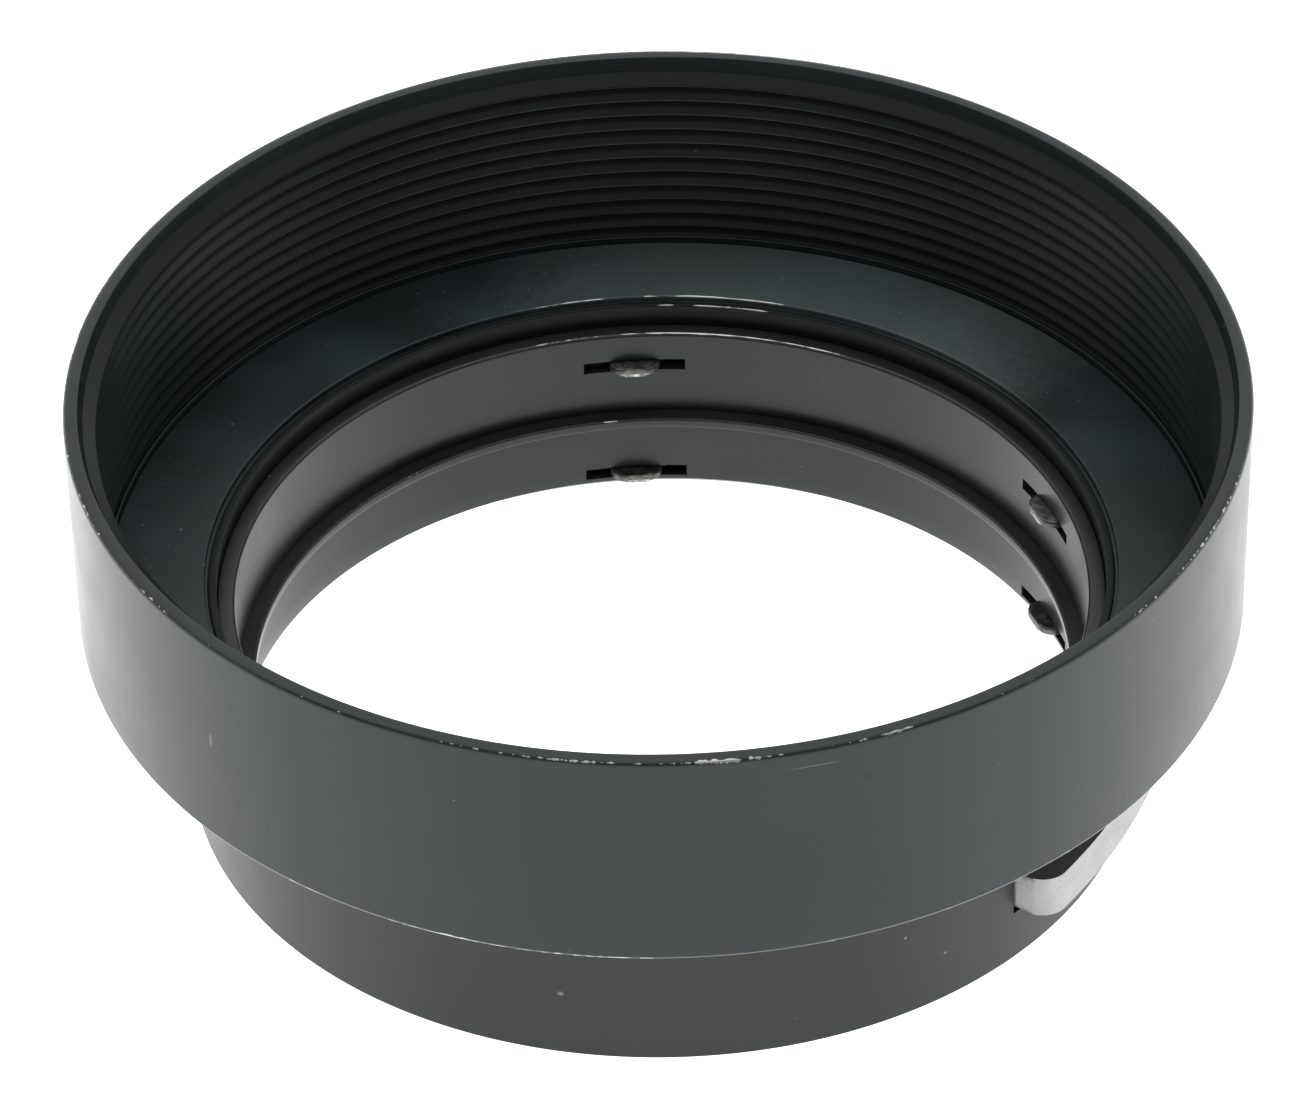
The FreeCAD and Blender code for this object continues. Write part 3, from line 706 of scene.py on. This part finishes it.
def shell_section():
    """The front shell's section, clockwise from the inner foot of its web."""
    corners = soft(
        (NECK_OUTER + 0.04, STEP_HEIGHT),
        (RIM_RADIUS - WALL_TAPER - 0.1, STEP_HEIGHT, 0.04),
        (RIM_RADIUS - WALL_TAPER, STEP_HEIGHT + 0.15, 0.06),
        (RIM_RADIUS, RIM_HEIGHT, RIM_ROUND),
        (LIP_INNER, RIM_HEIGHT, 0.07),
        (THROAT_INNER, THROAT_HEIGHT, 0.08),
        (RIB_CREST, MOUTH_HEIGHT, 0.05),
    )
    first_root = RIM_HEIGHT - FIRST_RIB_DROP
    for index in range(RIB_COUNT):
        root = first_root - index * RIB_PITCH
        corners += soft(
            (RIB_CREST, root + RIB_UNDERCUT, 0.05),
            (RIB_CREST + RIB_DEPTH, root, 0.05),
            (RIB_CREST, root + RIB_UNDERCUT + RIB_FLAT - RIB_PITCH, 0.05),
        )
    corners += soft(
        (RIB_CREST, WELL_LIP),
        (WELL_RADIUS, WELL_LIP),
        (WELL_RADIUS, PLATE_FOOT),
        (WELL_RADIUS - WELL_LEDGE, PLATE_FOOT),
        (WELL_RADIUS - WELL_LEDGE, LOCK_FOOT),
        (NECK_OUTER + 0.04, LOCK_FOOT),
    )
    return corners


def make_rings(materials):
    """The seven rings that don't move."""
    barrel = "barrel"
    shell = turned_piece("shell", shell_section())
    fit(shell, "front_shell", barrel, "anodised_shell", materials)

    plate = turned_piece(
        "plate",
        soft(
            (PLATE_INNER, PLATE_FOOT),
            (WELL_RADIUS - 0.04, PLATE_FOOT),
            (WELL_RADIUS - 0.04, PLATE_TOP, 0.1),
            (PLATE_INNER, PLATE_TOP, 0.1),
        ),
    )
    fit(plate, "floor_plate", barrel, "anodised_baffle", materials)

    nut = turned_piece(
        "nut",
        soft(
            (NECK_OUTER, LOCK_FOOT),
            (LOCK_OUTER, LOCK_FOOT),
            (LOCK_OUTER, PLATE_FOOT),
            (NECK_OUTER, PLATE_FOOT),
        ),
    )
    fit(nut, "lock_ring", barrel, "anodised_baffle", materials)

    sleeve = turned_piece(
        "sleeve",
        soft(
            (SLEEVE_BORE, 0.0),
            (SLEEVE_RADIUS, 0.0, 0.08),
            (SLEEVE_RADIUS, STEP_HEIGHT),
            (NECK_OUTER, STEP_HEIGHT),
            (NECK_OUTER, NECK_TOP, 0.1),
            (NECK_BORE, NECK_TOP, 0.1),
            (NECK_BORE, ROOF_HEIGHT),
            (SLEEVE_BORE, ROOF_HEIGHT),
        ),
    )
    window_bottom = BAR_BOTTOM - WINDOW_CLEARANCE
    window_top = BAR_TOP + WINDOW_CLEARANCE
    window_breadth = 2 * (BAR_HALF_LENGTH + WINDOW_CLEARANCE)
    carve(
        sleeve,
        [block(10.0, RIM_RADIUS, window_breadth, window_bottom, window_top, angle) for _, angle in SIDES],
    )
    fit(sleeve, "rear_sleeve", barrel, "anodised_sleeve", materials)

    collar = turned_piece(
        "collar",
        soft(
            (ENTRY_RADIUS + LEAD_IN_WIDTH, COLLAR_TOP, 0.05),
            (COLLAR_RIM, COLLAR_TOP),
            (COLLAR_RIM, ROOF_HEIGHT),
            (FLANGE_RADIUS, ROOF_HEIGHT),
            (FLANGE_RADIUS, FLANGE_BOTTOM),
            (COLLAR_OUTER, FLANGE_BOTTOM),
            (COLLAR_OUTER, CLOSING_HEIGHT),
            (ENTRY_RADIUS, CLOSING_HEIGHT, 0.05),
            (SEAT_RADIUS, LOWER_ROW + 0.4),
            (SEAT_RADIUS, STOP_BOTTOM),
            (STOP_OUTER, STOP_BOTTOM),
            (STOP_OUTER, STOP_TOP),
            (SEAT_RADIUS, STOP_TOP),
            (SEAT_RADIUS, UPPER_ROW - 0.4),
            (ENTRY_RADIUS, COLLAR_TOP - LEAD_IN_DEPTH, 0.06),
        ),
    )
    slots = []
    for row in (LOWER_ROW, UPPER_ROW):
        for _, side_angle in SIDES:
            for _, station, way in STATIONS:
                low, high = row - SLOT_HEIGHT / 2, row + SLOT_HEIGHT / 2
                slots.append(block(TONGUE_REACH, 22.61, SLOT_LENGTH, low, high, side_angle + way * station))
    carve(collar, slots)
    fit(collar, "lens_collar", barrel, "anodised_collar", materials)

    stop = turned_piece(
        "stop",
        soft(
            (STOP_BORE, STOP_BOTTOM, 0.12),
            (STOP_OUTER, STOP_BOTTOM),
            (STOP_OUTER, STOP_TOP),
            (STOP_BORE, STOP_TOP, 0.12),
        ),
    )
    fit(stop, "stop_ring", barrel, "anodised_collar", materials)

    closing = turned_piece(
        "closing",
        soft(
            (BEVEL_BOTTOM, 0.0),
            (SLEEVE_BORE, 0.0),
            (SLEEVE_BORE, CLOSING_HEIGHT),
            (ENTRY_RADIUS, CLOSING_HEIGHT, 0.04),
        ),
    )
    carve(closing, [block(-RIM_RADIUS, RIM_RADIUS, SPANNER_WIDTH, -1.0, SPANNER_DEPTH, 90.0)])
    fit(closing, "closing_ring", barrel, "anodised_sleeve", materials)


# ------------------------------------------------------------ the moving pieces


def bar_outline():
    """The thumb piece seen from above: a crown, two rounded ends and a hollow back."""
    crown = (BAR_CROWN - CROWN_RADIUS, 0.0)
    offset = BAR_HALF_LENGTH - BAR_END_ROUND
    reach = CROWN_RADIUS - BAR_END_ROUND
    meet = math.degrees(math.asin(offset / reach))
    end_x = crown[0] + math.sqrt(reach**2 - offset**2)
    back = math.degrees(math.asin(BAR_HALF_LENGTH / (BAR_PAD + 0.05)))
    return (
        arc((end_x, -offset), BAR_END_ROUND, -90, -meet, 12)
        + arc(crown, CROWN_RADIUS, -meet, meet, 24)[1:-1]
        + arc((end_x, offset), BAR_END_ROUND, meet, 90, 12)
        + arc((0, 0), BAR_PAD + 0.05, back, -back, 24)
    )


def keeper_section():
    """The keeper's section: a strip with a shallow pocket where the rocker fingers rest."""
    bottom, top = BAR_BOTTOM - KEEPER_MARGIN, BAR_TOP + KEEPER_MARGIN
    pocket_bottom, pocket_top = FINGER_BOTTOM - PAD_MARGIN, FINGER_TOP + PAD_MARGIN
    return [
        (KEEPER_INNER, bottom),
        (FLANGE_RADIUS, bottom),
        (FLANGE_RADIUS, top),
        (KEEPER_INNER, top),
        (KEEPER_INNER, pocket_top),
        (BAR_PAD, pocket_top),
        (BAR_PAD, pocket_bottom),
        (KEEPER_INNER, pocket_bottom),
    ]


def make_bar(side, angle, materials):
    shape = bmesh.new()
    ends = prism(shape, turned_about(bar_outline(), angle), BAR_BOTTOM, BAR_TOP)

    def at_the_back(edge):
        return all(vert.co.xy.length < (BAR_PAD + 0.06) * MM for vert in edge.verts)

    round_rims(shape, ends, BAR_EDGE_ROUND, at_the_back)
    sweep_section(shape, keeper_section(), angle - KEEPER_ANGLE, angle + KEEPER_ANGLE)
    fit(new_piece(f"{side}_bar", shape), f"{side}_release_bar", f"{side}_bar", "satin_bar", materials)


def tongue_outline():
    """A catch seen from above: a straight tongue with a rounded nose."""
    half = TONGUE_WIDTH / 2
    inside = half - TONGUE_ROUND
    middle = TONGUE_REACH + TONGUE_ROUND
    back = LEVER_INNER + 0.08
    return (
        [(back, half)]
        + arc((middle, inside), TONGUE_ROUND, 90, 180, 8)
        + arc((middle, -inside), TONGUE_ROUND, 180, 270, 8)
        + [(back, -half)]
    )


def make_rocker(side, name, station, way, side_angle, materials):
    shape = bmesh.new()
    arm = math.radians((station - CONTACT_ANGLE) / 2)
    push = BAR_TRAVEL * math.cos(math.radians(CONTACT_ANGLE))
    swing = way * math.degrees(push / (PIVOT_RADIUS * math.sin(arm)))
    pivot_angle = side_angle + way * (station + CONTACT_ANGLE) / 2
    catch_angle = side_angle + way * station
    pivot = arc((0, 0), PIVOT_RADIUS, pivot_angle, pivot_angle, 1)[0]
    bottom = LOWER_ROW - TONGUE_THICKNESS / 2
    top = UPPER_ROW + TONGUE_THICKNESS / 2

    for row in (LOWER_ROW, UPPER_ROW):
        low, high = row - TONGUE_THICKNESS / 2, row + TONGUE_THICKNESS / 2
        ends = prism(shape, turned_about(tongue_outline(), catch_angle), low, high)

        def at_the_back(edge):
            return all(vert.co.xy.length > (LEVER_INNER + 0.02) * MM for vert in edge.verts)

        round_rims(shape, ends, 0.12, at_the_back, steps=3)

    far_end = catch_angle + way * LEVER_OVERRUN
    clear_of_coil = pivot_angle + way * COIL_ROOM_ANGLE
    for start, low, high in (
        (pivot_angle, bottom, COIL_BOTTOM),
        (clear_of_coil, COIL_BOTTOM, COIL_TOP),
        (pivot_angle, COIL_TOP, top),
    ):
        prism(shape, sector(LEVER_INNER, LEVER_OUTER, start, far_end), low, high)
    finger_end = side_angle + way * (CONTACT_ANGLE - FINGER_OVERRUN)
    finger = sector(LEVER_INNER, LEVER_OUTER, pivot_angle, finger_end)
    prism(shape, turned_about(finger, swing, pivot), FINGER_BOTTOM, FINGER_TOP)
    for low, high in ((bottom, COIL_BOTTOM), (COIL_TOP, top)):
        tube = soft(
            (EYE_RADIUS, low),
            (KNUCKLE_RADIUS, low),
            (KNUCKLE_RADIUS, high),
            (EYE_RADIUS, high),
            rounding=0.03,
        )
        turn_section(shape, tube, pivot, steps=24)
    tag = f"{side}_{name}"
    fit(new_piece(f"{tag}_lever", shape), f"{tag}_rocker", f"{tag}_lever", "blackened_strip", materials)


def dress_cad_nodes(materials):
    """The pins and springs keep their CAD shapes."""
    for side, _ in SIDES:
        for name, _, _ in STATIONS:
            for part, slot in (("pin", "bright_steel"), ("spring", "spring_wire")):
                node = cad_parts[f"{side}_{name}_{part}"]
                node.data.materials.clear()
                node.data.materials.append(materials[slot])


# ------------------------------------------------------------ the studio

FLOOR_SIDE = 3.0
FLOOR_GLOW = 1.7
FLOOR_TONE = 0.35
TENT_LIGHT = 1.1
ROOM_LIGHT = 0.28
ROOF_GLOW = 1.0


def make_floor():
    """A large light table: it glows, and takes a faint shadow."""
    shape = bmesh.new()
    bmesh.ops.create_grid(shape, x_segments=1, y_segments=1, size=FLOOR_SIDE)
    mesh = bpy.data.meshes.new("floor")
    shape.to_mesh(mesh)
    shape.free()
    floor = bpy.data.objects.new("floor", mesh)
    bpy.context.collection.objects.link(floor)
    material = bpy.data.materials.new("light_table")
    material.use_nodes = True
    surface = material.node_tree.nodes["Principled BSDF"]
    surface.inputs["Base Color"].default_value = (FLOOR_TONE, FLOOR_TONE, FLOOR_TONE, 1)
    surface.inputs["Roughness"].default_value = 0.9
    surface.inputs["Emission Color"].default_value = (1, 1, 1, 1)
    surface.inputs["Emission Strength"].default_value = FLOOR_GLOW
    mesh.materials.append(material)


def make_world():
    """A white tent, brightest overhead and open to a dark room on the camera's side."""
    world = bpy.data.worlds.new("tent")
    bpy.context.scene.world = world
    world.use_nodes = True
    nodes, links = world.node_tree.nodes, world.node_tree.links
    direction = nodes.new("ShaderNodeTexCoord").outputs["Generated"]
    heading = math.radians(CAMERA_HEADING)
    facing = nodes.new("ShaderNodeVectorMath")
    facing.operation = "DOT_PRODUCT"
    links.new(direction, facing.inputs[0])
    facing.inputs[1].default_value = (math.cos(heading), math.sin(heading), 0.0)
    split = nodes.new("ShaderNodeSeparateXYZ")
    links.new(direction, split.inputs[0])
    strength = nodes.new("ShaderNodeMath")
    strength.operation = "ADD"
    fades = (
        (facing.outputs["Value"], -0.5, 0.2, ROOM_LIGHT, TENT_LIGHT),
        (split.outputs["Z"], 0.6, 0.95, 0.0, ROOF_GLOW),
    )
    for slot, (source, low, high, start, end) in enumerate(fades):
        fade = nodes.new("ShaderNodeMapRange")
        fade.interpolation_type = "SMOOTHSTEP"
        links.new(source, fade.inputs[0])
        for socket, value in zip(fade.inputs[1:5], (low, high, start, end)):
            socket.default_value = value
        links.new(fade.outputs[0], strength.inputs[slot])
    links.new(strength.outputs[0], nodes["Background"].inputs["Strength"])
    nodes["Background"].inputs["Color"].default_value = (1, 1, 1, 1)


def main():
    make_camera()
    materials = make_materials()
    make_rings(materials)
    for side, side_angle in SIDES:
        make_bar(side, side_angle, materials)
        for name, station, way in STATIONS:
            make_rocker(side, name, station, way, side_angle, materials)
    dress_cad_nodes(materials)
    make_floor()
    make_world()
    bpy.context.scene.view_settings.view_transform = "Standard"


main()
